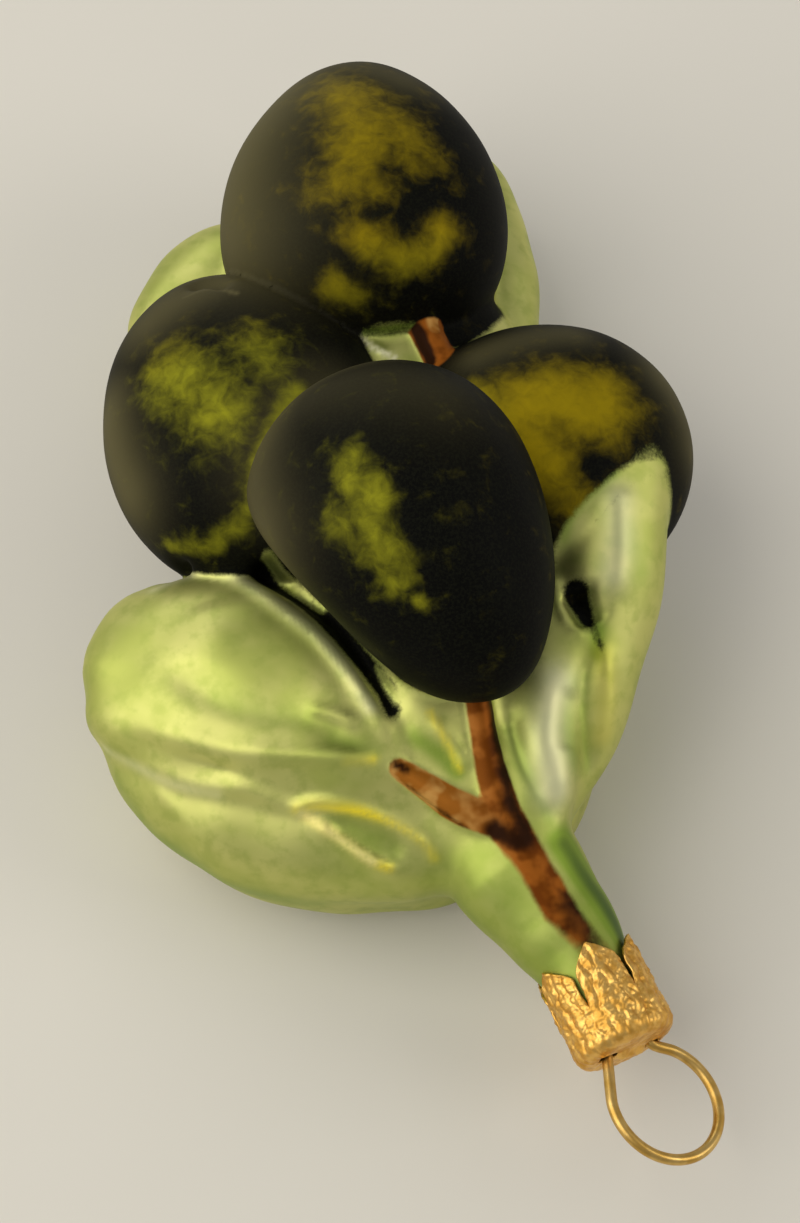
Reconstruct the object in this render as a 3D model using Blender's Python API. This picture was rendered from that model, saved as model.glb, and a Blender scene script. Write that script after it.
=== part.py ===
"""Blown-glass hanging ornament in the shape of an olive branch, lying on its back.

Three pieces: the hollow glass body, the stamped crown cap over its open neck, and the bent
wire whose loop stands outside the cap while its two legs run down inside the neck.
Sizes are in millimetres until they reach a Blender object. +Z is up, +Y points from the cap
to the top of the cluster, and the finished piece stands on the origin.
"""
import math
from collections import namedtuple

import bmesh
import bpy
from mathutils import Matrix, Vector

MM = 0.001

# Glass body: its wall, and how finely the mould relief is meshed.
WALL = 1.2
RELIEF_CELL = 0.9
OUTER_SMOOTHING = 9
INNER_SMOOTHING = 5
OUTER_KEEP = 0.085
INNER_KEEP = 0.065

Ball = namedtuple("Ball", "centre half_sizes turn taper")
Leaf = namedtuple("Leaf", "base tip normal left right thickness bluntness fullness")
Rod = namedtuple("Rod", "start end start_radius end_radius")

# Olives: four in front, two behind. The turn is about Z in degrees, and the taper is how much
# wider than the middle an olive's far end is.
TOP_OLIVE = Ball((7.4, 46.8, 24.0), (15.7, 18.0, 14.5), -11.4, -0.17)
FRONT_OLIVE = Ball((1.7, 0.9, 34.0), (14.3, 18.7, 15.3), 17.0, 0.26)
LEFT_OLIVE = Ball((-10.8, 23.8, 22.0), (15.8, 18.8, 13.0), 6.7, -0.09)
RIGHT_OLIVE = Ball((18.9, 12.5, 22.0), (16.2, 15.5, 12.0), 0.0, 0.02)
UPPER_BACK_OLIVE = Ball((6.5, 43.0, 12.5), (13.0, 15.0, 12.5), 0.0, 0.0)
LOWER_BACK_OLIVE = Ball((-1.0, 8.0, 13.0), (14.0, 15.0, 12.6), 0.0, 0.0)
OLIVES = (
    TOP_OLIVE, FRONT_OLIVE, LEFT_OLIVE, RIGHT_OLIVE, UPPER_BACK_OLIVE, LOWER_BACK_OLIVE,
)

# The plain body that the olives and leaves stand out of.
CORE = (
    Ball((4.0, 24.0, 16.5), (17.0, 32.0, 10.5), 0.0, 0.0),
    Ball((-2.0, -6.0, 15.5), (13.0, 17.0, 10.0), 0.0, 0.0),
    Ball((10.5, -4.0, 16.0), (11.0, 17.0, 9.0), 0.0, 0.0),
)

# Leaves: left and right are half widths either side of the midrib, and thickness is half the
# whole. Bluntness runs from 0.4 for a round tip to 0.7 for a pointed one, and a fullness over
# 1 puts the widest part nearer the tip.
UP = (0.0, 0.0, 1.0)
LEFT_LEAF_TOP = Leaf(
    (-2.0, -17.5, 19.5), (-33.6, 5.6, 16.0), (-0.05, -0.1, 1.0), 9.5, 14.4, 9.0, 0.4, 1.0
)
LEFT_LEAF_MIDDLE = Leaf((0.0, -20.0, 16.5), (-34.0, 1.5, 15.0), (-0.1, -0.2, 1.0), 7.0, 7.0, 9.0, 0.4, 1.0)
LEFT_LEAF_FOOT = Leaf(
    (7.0, -27.5, 14.0), (-32.8, -3.6, 13.0), (-0.1, -0.25, 1.0), 11.4, 11.3, 9.0, 0.56, 1.2
)
RIGHT_LEAF = Leaf((10.6, -25.0, 14.5), (28.4, 10.2, 28.8), (0.45, -0.5, 1.0), 6.0, 5.8, 5.0, 0.42, 1.25)
MIDDLE_LEAF = Leaf((7.5, -28.0, 16.0), (16.0, 3.0, 23.0), (0.1, -0.4, 1.0), 5.0, 5.0, 6.0, 0.5, 1.0)
UPPER_LEFT_LEAF = Leaf((3.0, 51.0, 13.0), (-20.5, 38.5, 13.0), UP, 7.0, 9.8, 5.0, 0.5, 1.0)
UPPER_RIGHT_LEAF = Leaf((17.0, 22.0, 13.0), (23.5, 58.0, 13.0), UP, 6.0, 5.6, 5.0, 0.5, 1.0)
LEFT_BACK_LEAF = Leaf((5.0, -25.0, 7.5), (-31.0, 0.0, 7.5), UP, 12.5, 9.0, 7.5, 0.5, 1.0)
RIGHT_BACK_LEAF = Leaf((8.0, -27.0, 7.5), (24.0, 12.0, 7.5), UP, 7.5, 6.0, 7.5, 0.5, 1.0)
LEAVES = (
    LEFT_LEAF_TOP, LEFT_LEAF_MIDDLE, LEFT_LEAF_FOOT, RIGHT_LEAF, MIDDLE_LEAF,
    UPPER_LEFT_LEAF, UPPER_RIGHT_LEAF, LEFT_BACK_LEAF, RIGHT_BACK_LEAF,
)

# How boxy a leaf is across its midrib: 2 would be an ellipse.
LEAF_SQUARENESS = 2.3

# The shoulder widens from the neck into the body.
SHOULDER = (
    Rod((9.1, -38.0, 12.8), (7.3, -34.0, 13.1), 4.4, 5.2),
    Rod((7.3, -34.0, 13.1), (5.0, -28.5, 14.0), 5.2, 6.3),
    Rod((5.0, -28.5, 14.0), (0.0, -8.0, 17.0), 6.3, 11.0),
)

# The branch in relief: up the neck to its fork, a twig to each side, a length between the
# olives, and the same branch on the back.
FORK = (4.4, -26.0, 20.2)
BACK_BEND = (4.5, -26.0, 7.4)
BRANCH = (
    Rod((10.9, -41.5, 14.5), (7.6, -35.0, 17.4), 2.3, 2.0),
    Rod((7.6, -35.0, 17.4), FORK, 2.0, 2.3),
    Rod(FORK, (4.1, -20.1, 22.9), 2.1, 1.5),
    Rod((4.1, -20.1, 22.9), (4.6, -13.5, 25.3), 1.5, 1.3),
    Rod(FORK, (-0.5, -22.6, 21.8), 2.1, 1.5),
    Rod((-0.5, -22.6, 21.8), (-4.9, -18.5, 23.6), 1.5, 0.8),
    Rod((9.6, 31.5, 26.0), (11.3, 21.0, 26.6), 1.7, 1.5),
    Rod((8.4, -38.0, 10.6), BACK_BEND, 2.2, 2.3),
    Rod(BACK_BEND, (0.5, -6.0, 5.0), 2.2, 2.0),
)

# Neck axis: middle of the cap's closed end, and the way the neck points.
CAP_END = (11.52, -49.51, 12.47)
NECK_YAW = 11.4
NECK_DROOP = 1.5

# Neck tube, measured back from the cap's closed end.
NECK_START = 2.8
NECK_GRIP = 9.5
NECK_LIP = 10.9
NECK_ROOT = 14.3
NECK_RADIUS = 4.15
NECK_LIP_RADIUS = 4.4
BORE_RADIUS = 3.3
NECK_SIDES = 40

# Crown cap: a drawn cup of thin sheet with pointed petals, slit between them.
CAP_SHEET = 0.38
CAP_RADIUS = 5.4
CAP_FLARE = 0.1
CAP_HEIGHT = 10.7
CAP_EDGE = 1.2
CAP_SIDES = 48
PETALS = 6
PETAL_ROOF = 2.8
PETAL_SLIT = 6.1
SLIT_WIDTH = 0.5

# Wire hanger: a round loop, its lean to one side, its roll about the neck, and its legs.
WIRE_RADIUS = 0.58
LOOP_RADIUS = 6.1
LOOP_RISE = 6.3
LOOP_LEAN = 0.9
HANGER_ROLL = -25.0
SLOT_SPACING = 2.8
LOOP_START = 60.0
LOOP_END = 336.0
LOOP_STEPS = 24
WIRE_STEPS = 3

# Slots that the legs pass through, and the pressed bridge between them.
SLOT_LENGTH = 2.2
SLOT_WIDTH = 2.0
BRIDGE_LENGTH = 3.1
BRIDGE_WIDTH = 2.4
BRIDGE_RISE = 0.6


def material(name, colour, roughness, metallic):
    """A plain Principled material."""
    made = bpy.data.materials.new(name)
    made.use_nodes = True
    shader = made.node_tree.nodes["Principled BSDF"]
    shader.inputs["Base Color"].default_value = (*colour, 1.0)
    shader.inputs["Roughness"].default_value = roughness
    shader.inputs["Metallic"].default_value = metallic
    return made


def link(name, data):
    """A new object in the scene."""
    made = bpy.data.objects.new(name, data)
    bpy.context.scene.collection.objects.link(made)
    return made


def as_helper(helper):
    """Mark a cutter or a guide, which is no piece of the ornament."""
    helper.hide_render = True
    helper.display_type = "WIRE"
    return helper


def mesh_from(name, shape):
    """Turn a bmesh in millimetres into mesh data in metres."""
    bmesh.ops.scale(shape, vec=(MM, MM, MM), verts=shape.verts)
    bmesh.ops.recalc_face_normals(shape, faces=shape.faces)
    data = bpy.data.meshes.new(name)
    shape.to_mesh(data)
    shape.free()
    return data


def boolean(target, tool, operation):
    """Cut or join one object with another."""
    step = target.modifiers.new(tool.name, "BOOLEAN")
    step.object = tool
    step.operation = operation
    step.solver = "EXACT"


def add_ball(shape, ball, inset):
    """An egg shape, drawn in by the inset on every side."""
    size = [half - inset for half in ball.half_sizes]
    place = Matrix.Translation(ball.centre) @ Matrix.Rotation(math.radians(ball.turn), 4, "Z")
    place = place @ Matrix.Diagonal((*size, 1.0))
    made = bmesh.ops.create_uvsphere(shape, u_segments=32, v_segments=20, radius=1.0)
    for vert in made["verts"]:
        girth = 1.0 + ball.taper * vert.co.y
        vert.co.x *= girth
        vert.co.z *= girth
        vert.co = place @ vert.co


def add_leaf(shape, leaf, inset):
    """A puffy leaf: a ball stretched to the leaf's outline along its midrib."""
    base = Vector(leaf.base)
    midrib = Vector(leaf.tip) - base
    length = midrib.length
    along = midrib.normalized()
    up = Vector(leaf.normal)
    up = (up - up.dot(along) * along).normalized()
    across = up.cross(along)
    made = bmesh.ops.create_uvsphere(shape, u_segments=32, v_segments=24, radius=1.0)
    for vert in made["verts"]:
        where = (1.0 + vert.co.z) / 2.0
        swell = math.sin(math.pi * where ** leaf.fullness)
        half_width = leaf.left if vert.co.y > 0.0 else leaf.right
        half_width = max(half_width * swell ** leaf.bluntness - inset, 0.0)
        half_height = max(leaf.thickness * swell ** (0.8 * leaf.bluntness) - inset, 0.0)
        spoke = Vector((vert.co.x, vert.co.y))
        if spoke.length > 0.0:
            reach = abs(spoke.x) ** LEAF_SQUARENESS + abs(spoke.y) ** LEAF_SQUARENESS
            spoke /= reach ** (1.0 / LEAF_SQUARENESS)
        point = base + along * (inset + where * (length - 2.0 * inset))
        vert.co = point + across * spoke.y * half_width + up * spoke.x * half_height


def add_rod(shape, rod, inset):
    """A round rod with ball ends, drawn in by the inset."""
    start = Vector(rod.start)
    end = Vector(rod.end)
    start_radius = rod.start_radius - inset
    end_radius = rod.end_radius - inset
    turn = (end - start).to_track_quat("Z", "Y").to_matrix().to_4x4()
    bmesh.ops.create_cone(
        shape,
        cap_ends=True,
        segments=28,
        radius1=start_radius,
        radius2=end_radius,
        depth=(end - start).length,
        matrix=Matrix.Translation((start + end) / 2.0) @ turn,
    )
    add_ball(shape, Ball(start, (start_radius,) * 3, 0.0, 0.0), 0.0)
    add_ball(shape, Ball(end, (end_radius,) * 3, 0.0, 0.0), 0.0)


def relief(name, rods, inset, smoothing, keep):
    """The olives, leaves and rods melted into one skin."""
    shape = bmesh.new()
    for ball in OLIVES + CORE:
        add_ball(shape, ball, inset)
    for leaf in LEAVES:
        add_leaf(shape, leaf, inset)
    for rod in rods:
        add_rod(shape, rod, inset)
    made = link(name, mesh_from(name, shape))
    melt = made.modifiers.new("melt", "REMESH")
    melt.mode = "VOXEL"
    melt.voxel_size = RELIEF_CELL * MM
    soften = made.modifiers.new("soften", "SMOOTH")
    soften.iterations = smoothing
    lighten = made.modifiers.new("lighten", "DECIMATE")
    lighten.ratio = keep
    return made


def turned(name, profile, sides):
    """A solid turned about Z from (radius, height) points that start and end on the axis."""
    shape = bmesh.new()
    rim = [shape.verts.new((radius, 0.0, height)) for radius, height in profile]
    edges = [shape.edges.new(pair) for pair in zip(rim, rim[1:])]
    bmesh.ops.spin(
        shape,
        geom=rim + edges,
        cent=(0.0, 0.0, 0.0),
        axis=(0.0, 0.0, 1.0),
        angle=math.tau,
        steps=sides,
        use_merge=True,
    )
    bmesh.ops.remove_doubles(shape, verts=shape.verts, dist=1e-4)
    return link(name, mesh_from(name, shape))


def block(name, low, high):
    """A box between two corners."""
    shape = bmesh.new()
    size = [b - a for a, b in zip(low, high)]
    middle = [(a + b) / 2.0 for a, b in zip(low, high)]
    place = Matrix.Translation(middle) @ Matrix.Diagonal((*size, 1.0))
    bmesh.ops.create_cube(shape, size=1.0, matrix=place)
    return link(name, mesh_from(name, shape))


def neck_tube(axis):
    """The straight glass neck, from its cut end to inside the shoulder."""
    profile = (
        (0.0, -NECK_ROOT),
        (NECK_LIP_RADIUS, -NECK_ROOT),
        (NECK_LIP_RADIUS, -NECK_LIP),
        (NECK_RADIUS, -NECK_GRIP),
        (NECK_RADIUS, -NECK_START),
        (0.0, -NECK_START),
    )
    tube = as_helper(turned("neck_tube", profile, NECK_SIDES))
    tube.parent = axis
    return tube


def neck_bore(axis):
    """The open bore down the neck into the hollow body."""
    profile = (
        (0.0, -NECK_ROOT - 1.0),
        (BORE_RADIUS, -NECK_ROOT - 1.0),
        (BORE_RADIUS, 1.0),
        (0.0, 1.0),
    )
    bore = as_helper(turned("neck_bore", profile, NECK_SIDES))
    bore.parent = axis
    return bore


def make_glass_body(axis):
    """The hollow blown body with its open neck."""
    body = relief("glass_body", SHOULDER + BRANCH, 0.0, OUTER_SMOOTHING, OUTER_KEEP)
    hollow = as_helper(relief("hollow", SHOULDER, WALL, INNER_SMOOTHING, INNER_KEEP))
    boolean(body, neck_tube(axis), "UNION")
    boolean(body, hollow, "DIFFERENCE")
    boolean(body, neck_bore(axis), "DIFFERENCE")
    body.data.materials.append(material("lacquered_glass", (0.30, 0.36, 0.10), 0.25, 0.8))
    return body


def cap_profile():
    """The cup's section: outer side, closed end, and the inner side back to the rim."""
    outer = CAP_RADIUS
    rim = CAP_RADIUS + CAP_FLARE
    sheet = CAP_SHEET
    corner = CAP_EDGE * (1.0 - math.cos(math.radians(45.0)))
    return (
        (0.0, 0.0),
        (outer - CAP_EDGE, 0.0),
        (outer - corner, -corner),
        (outer, -CAP_EDGE),
        (rim, -CAP_HEIGHT),
        (rim - sheet, -CAP_HEIGHT),
        (outer - sheet, -CAP_EDGE),
        (outer - sheet - corner, -corner - sheet / 2.0),
        (outer - CAP_EDGE, -sheet),
        (0.0, -sheet),
    )


def petal_cutter(index):
    """The notch and slit that part two petals of the cap's rim."""
    shape = bmesh.new()
    reach = CAP_RADIUS + CAP_FLARE
    half_pitch = reach * math.tan(math.pi / PETALS) * 1.04
    half_slit = SLIT_WIDTH / 2.0
    below = 0.5
    outline = (
        (-half_slit, -CAP_HEIGHT + PETAL_SLIT),
        (half_slit, -CAP_HEIGHT + PETAL_SLIT),
        (half_slit, -CAP_HEIGHT + PETAL_ROOF),
        (half_pitch, -CAP_HEIGHT),
        (half_pitch, -CAP_HEIGHT - below),
        (-half_pitch, -CAP_HEIGHT - below),
        (-half_pitch, -CAP_HEIGHT),
        (-half_slit, -CAP_HEIGHT + PETAL_ROOF),
    )
    inner = reach / 2.0
    face = shape.faces.new([shape.verts.new((x, inner, z)) for x, z in outline])
    pushed = bmesh.ops.extrude_face_region(shape, geom=[face])
    moved = [item for item in pushed["geom"] if isinstance(item, bmesh.types.BMVert)]
    bmesh.ops.translate(shape, vec=(0.0, reach, 0.0), verts=moved)
    turn = (index + 0.5) * math.tau / PETALS
    bmesh.ops.rotate(shape, matrix=Matrix.Rotation(turn, 3, "Z"), verts=shape.verts)
    return as_helper(link(f"petal_cutter_{index}", mesh_from("petal_cutter", shape)))


def slot_cutter(side):
    """One of the two slots in the closed end."""
    low = (side * SLOT_SPACING - SLOT_LENGTH / 2.0, -SLOT_WIDTH / 2.0, -1.0)
    high = (side * SLOT_SPACING + SLOT_LENGTH / 2.0, SLOT_WIDTH / 2.0, 2.0)
    return as_helper(block(f"slot_cutter_{side}", low, high))


def bridge():
    """The pressed bridge between the slots, arched outward."""
    shape = bmesh.new()
    half = BRIDGE_WIDTH / 2.0
    sink = CAP_SHEET / 2.0
    turns = [math.radians(angle) for angle in range(0, 181, 30)]
    outline = [(half * math.cos(turn), BRIDGE_RISE * math.sin(turn)) for turn in turns]
    outline += [(-half, -sink), (half, -sink)]
    start = -BRIDGE_LENGTH / 2.0
    face = shape.faces.new([shape.verts.new((start, y, z)) for y, z in outline])
    pushed = bmesh.ops.extrude_face_region(shape, geom=[face])
    moved = [item for item in pushed["geom"] if isinstance(item, bmesh.types.BMVert)]
    bmesh.ops.translate(shape, vec=(BRIDGE_LENGTH, 0.0, 0.0), verts=moved)
    return as_helper(link("bridge", mesh_from("bridge", shape)))


def make_crown_cap(axis):
    """The stamped cap that grips the neck."""
    cap = turned("crown_cap", cap_profile(), CAP_SIDES)
    cap.parent = axis
    for index in range(PETALS):
        cutter = petal_cutter(index)
        cutter.parent = axis
        boolean(cap, cutter, "DIFFERENCE")
    roll = math.radians(HANGER_ROLL)
    tools = ((bridge(), "UNION"), (slot_cutter(-1), "DIFFERENCE"), (slot_cutter(1), "DIFFERENCE"))
    for tool, operation in tools:
        tool.parent = axis
        tool.rotation_euler.z = roll
        boolean(cap, tool, operation)
    cap.data.materials.append(material("gold_plated_tin", (0.78, 0.55, 0.20), 0.35, 1.0))
    return cap


def hanger_route():
    """The wire's centre line, as (across, out) points from one leg's end to the other's."""
    left_leg = [(-2.0, -14.8), (-2.25, -11.8), (-2.36, -6.5), (-2.36, -3.0), (-2.75, -1.0), (-2.95, 0.1)]
    right_leg = [(2.8, 0.15), (2.64, -0.6), (2.37, -2.9), (2.36, -6.5), (2.25, -11.8), (2.0, -14.8)]
    loop = []
    for step in range(LOOP_STEPS + 1):
        turn = math.radians(LOOP_START + (LOOP_END - LOOP_START) * step / LOOP_STEPS)
        across = LOOP_LEAN - LOOP_RADIUS * math.sin(turn)
        out = LOOP_RISE - LOOP_RADIUS * math.cos(turn)
        loop.append((across, out))
    return left_leg + loop + right_leg


def smooth_route(points, steps):
    """Points along a Catmull-Rom curve through the given points."""
    ends = [points[0]] + list(points) + [points[-1]]
    route = []
    for before, start, end, after in zip(ends, ends[1:], ends[2:], ends[3:]):
        for step in range(steps):
            t = step / steps
            route.append(
                tuple(
                    0.5 * (2.0 * b + (c - a) * t + (2.0 * a - 5.0 * b + 4.0 * c - d) * t * t
                           + (3.0 * b - a - 3.0 * c + d) * t ** 3)
                    for a, b, c, d in zip(before, start, end, after)
                )
            )
    route.append(tuple(points[-1]))
    return route


def make_hanger_wire(axis):
    """The bent wire: loop outside, two sprung legs inside the neck."""
    route = hanger_route()
    bends = 7
    legs = smooth_route(route[:bends], WIRE_STEPS)[:-1]
    legs_back = smooth_route(route[-bends:], WIRE_STEPS)[1:]
    points = legs + route[bends - 1:len(route) - bends + 1] + legs_back
    curve = bpy.data.curves.new("hanger_wire", "CURVE")
    curve.dimensions = "3D"
    curve.bevel_depth = WIRE_RADIUS * MM
    curve.bevel_resolution = 2
    curve.use_fill_caps = True
    spline = curve.splines.new("POLY")
    spline.points.add(len(points) - 1)
    for knot, (across, out) in zip(spline.points, points):
        knot.co = (across * MM, 0.0, out * MM, 1.0)
    wire = link("hanger_wire", curve)
    wire.parent = axis
    wire.rotation_euler.z = math.radians(HANGER_ROLL)
    wire.data.materials.append(material("gold_plated_wire", (0.76, 0.58, 0.28), 0.25, 1.0))
    return wire


def neck_axis():
    """An empty at the cap's closed end: its +Z runs out of the neck, its +Y up."""
    yaw = math.radians(NECK_YAW)
    droop = math.radians(NECK_DROOP)
    out = Vector((math.sin(yaw) * math.cos(droop), -math.cos(yaw) * math.cos(droop), -math.sin(droop)))
    right = Vector((0.0, 0.0, 1.0)).cross(out).normalized()
    up = out.cross(right)
    axis = link("neck_axis", None)
    turn = Matrix((right, up, out)).transposed().to_4x4()
    axis.matrix_world = Matrix.Translation(Vector(CAP_END) * MM) @ turn
    return axis


def stand_on_origin(pieces, root):
    """Move the root so that the pieces' box stands centred on the origin."""
    bpy.context.view_layer.update()
    depsgraph = bpy.context.evaluated_depsgraph_get()
    corners = []
    for piece in pieces:
        shape = piece.evaluated_get(depsgraph)
        mesh = shape.to_mesh()
        corners += [shape.matrix_world @ vert.co for vert in mesh.vertices]
        shape.to_mesh_clear()
    low = [min(corner[i] for corner in corners) for i in range(3)]
    high = [max(corner[i] for corner in corners) for i in range(3)]
    root.location = (-(low[0] + high[0]) / 2.0, -(low[1] + high[1]) / 2.0, -low[2])


def build():
    """Make the ornament."""
    for old in list(bpy.data.objects):
        bpy.data.objects.remove(old, do_unlink=True)
    axis = neck_axis()
    pieces = [make_glass_body(axis), make_crown_cap(axis), make_hanger_wire(axis)]
    root = link("ornament", None)
    for made in list(bpy.context.scene.collection.objects):
        if made.parent is None and made is not root:
            made.parent = root
    for piece in pieces[:2]:
        piece.data.shade_smooth()
    stand_on_origin(pieces, root)


build()
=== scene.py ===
"""Finished look of a blown-glass olive branch ornament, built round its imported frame.

The silvered glass is one moulded skin: olives, leaves, stem and neck are described as soft
solids in millimetres, melted together, creased, and meshed. The stamped crown cap and the
wire hanger are built separately. The tables share one zero point, and shift() carries it
into the frame.
"""
import math
from collections import namedtuple

import bmesh
import bpy
import mathutils.noise
import numpy as np
from mathutils import Matrix, Vector


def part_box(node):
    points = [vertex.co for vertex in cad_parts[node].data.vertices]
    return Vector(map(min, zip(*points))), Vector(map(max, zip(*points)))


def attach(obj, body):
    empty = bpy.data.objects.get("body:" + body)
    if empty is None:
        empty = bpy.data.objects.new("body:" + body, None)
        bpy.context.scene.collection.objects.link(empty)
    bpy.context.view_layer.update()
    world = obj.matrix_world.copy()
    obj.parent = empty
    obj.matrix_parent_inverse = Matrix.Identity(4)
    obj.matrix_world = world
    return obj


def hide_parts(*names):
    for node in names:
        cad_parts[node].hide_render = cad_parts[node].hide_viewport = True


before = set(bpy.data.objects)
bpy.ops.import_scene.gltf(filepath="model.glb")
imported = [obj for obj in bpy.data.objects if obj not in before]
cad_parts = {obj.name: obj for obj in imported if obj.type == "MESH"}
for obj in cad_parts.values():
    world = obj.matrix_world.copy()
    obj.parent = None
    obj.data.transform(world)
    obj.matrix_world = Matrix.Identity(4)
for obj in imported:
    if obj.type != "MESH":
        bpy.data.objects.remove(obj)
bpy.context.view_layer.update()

MM = 0.001

Egg = namedtuple("Egg", "centre half_sizes turn taper")
Leaf = namedtuple("Leaf", "base tip normal left right thickness bluntness fullness")
Rod = namedtuple("Rod", "start end start_radius end_radius")
Fold = namedtuple("Fold", "route width rise")
Stroke = namedtuple("Stroke", "route width end_width")
Patch = namedtuple("Patch", "route radius strength")

# Fineness of the glass skin's mesh, and how softly its parts run into each other.
CELL = 0.52
BAND_STRIDE = 4
BODY_MELT = 3.0
LEAF_MELT = 1.6
LEAF_SQUARENESS = 2.3
OLIVE_MELT = 0.9
WOOD_MELT = 0.8
GRADIENT_STEP = 0.06
GRID_LOW = (-37.5, -48.5, -1.5)
GRID_HIGH = (37.5, 68.0, 52.0)
SKIN_PASSES = 3
PRESS_LIMIT = 0.6

# Where the leaves' blunt tips are softened: how near the tip, over what fade, how often.
TIP_REACH = 8.0
TIP_FADE = 3.0
TIP_PASSES = 10

# Painted shade deepens the green down the neck from here, over this length.
NECK_SHADE_START = -17.0
NECK_SHADE_LENGTH = 18.0

# Olives: four in front, two behind. The taper widens the far end.
FRONT_OLIVE = Egg((1.7, 0.9, 34.0), (14.3, 18.7, 15.3), 17.0, 0.26)
OLIVES = (
    Egg((7.4, 46.8, 24.0), (15.7, 18.0, 14.5), -11.4, -0.17),
    Egg((-10.8, 23.8, 22.0), (15.8, 18.8, 13.0), 6.7, -0.09),
    Egg((18.9, 12.5, 22.0), (16.2, 15.5, 12.0), 0.0, 0.02),
    Egg((6.5, 43.0, 12.5), (13.0, 15.0, 12.5), 0.0, 0.0),
    Egg((-1.0, 8.0, 13.0), (14.0, 15.0, 12.6), 0.0, 0.0),
)

# The front olive is pressed flat on the side towards the large leaf.
FRONT_FLAT = (-9.6, -0.4, 31.0)
FRONT_FLAT_WAY = (-0.84, -0.44, -0.31)

CORE = (
    Egg((4.0, 24.0, 16.5), (17.0, 32.0, 10.5), 0.0, 0.0),
    Egg((-2.0, -6.0, 15.5), (13.0, 17.0, 10.0), 0.0, 0.0),
    Egg((10.5, -4.0, 16.0), (11.0, 17.0, 9.0), 0.0, 0.0),
)

SHOULDER = (
    Rod((10.9, -46.8, 12.5), (9.1, -38.0, 12.8), 4.15, 4.3),
    Rod((9.1, -38.0, 12.8), (7.3, -34.0, 13.1), 4.3, 5.2),
    Rod((7.3, -34.0, 13.1), (5.0, -28.5, 14.0), 5.2, 6.3),
    Rod((5.0, -28.5, 14.0), (0.0, -8.0, 17.0), 6.3, 11.0),
)

UP = (0.0, 0.0, 1.0)
LEAVES = (
    Leaf((-2.0, -17.5, 19.5), (-32.6, 4.9, 16.0), (-0.05, -0.1, 1.0), 9.5, 14.4, 9.0, 0.38, 1.0),
    Leaf((0.0, -20.0, 16.5), (-34.1, -0.8, 15.5), (-0.1, -0.2, 1.0), 7.0, 7.0, 9.0, 0.4, 1.0),
    Leaf((7.0, -27.5, 14.0), (-32.8, -3.6, 13.0), (-0.1, -0.25, 1.0), 11.4, 11.3, 9.0, 0.56, 1.2),
    Leaf((10.6, -25.0, 14.5), (28.4, 10.2, 28.8), (0.45, -0.5, 1.0), 6.0, 5.8, 5.0, 0.42, 1.25),
    Leaf((7.5, -28.0, 16.0), (16.0, 3.0, 23.0), (0.1, -0.4, 1.0), 5.0, 5.0, 6.0, 0.5, 1.0),
    Leaf((3.0, 51.0, 13.0), (-20.5, 38.5, 13.0), UP, 7.0, 9.8, 5.0, 0.5, 1.0),
    Leaf((17.0, 22.0, 13.0), (23.5, 58.0, 13.0), UP, 6.0, 5.6, 5.0, 0.5, 1.0),
    Leaf((5.0, -25.0, 7.5), (-31.0, 0.0, 7.5), UP, 12.5, 9.0, 7.5, 0.5, 1.0),
    Leaf((8.0, -27.0, 7.5), (24.0, 12.0, 7.5), UP, 7.5, 6.0, 7.5, 0.5, 1.0),
)

FORK = (4.4, -26.0, 20.2)
BACK_BEND = (4.5, -26.0, 7.4)
BRANCH = (
    Rod((10.9, -41.5, 14.5), (7.6, -35.0, 17.4), 2.3, 2.0),
    Rod((7.6, -35.0, 17.4), FORK, 2.0, 2.3),
    Rod(FORK, (4.1, -20.1, 22.9), 2.1, 1.5),
    Rod((4.1, -20.1, 22.9), (4.6, -13.5, 25.3), 1.5, 1.3),
    Rod(FORK, (-0.5, -22.6, 21.8), 2.1, 1.5),
    Rod((-0.5, -22.6, 21.8), (-4.9, -18.5, 23.6), 1.5, 0.8),
    Rod((9.6, 31.5, 26.0), (11.3, 21.0, 26.6), 1.7, 1.5),
    Rod((8.4, -38.0, 10.6), BACK_BEND, 2.2, 2.3),
    Rod(BACK_BEND, (0.5, -6.0, 5.0), 2.2, 2.0),
)

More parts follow.
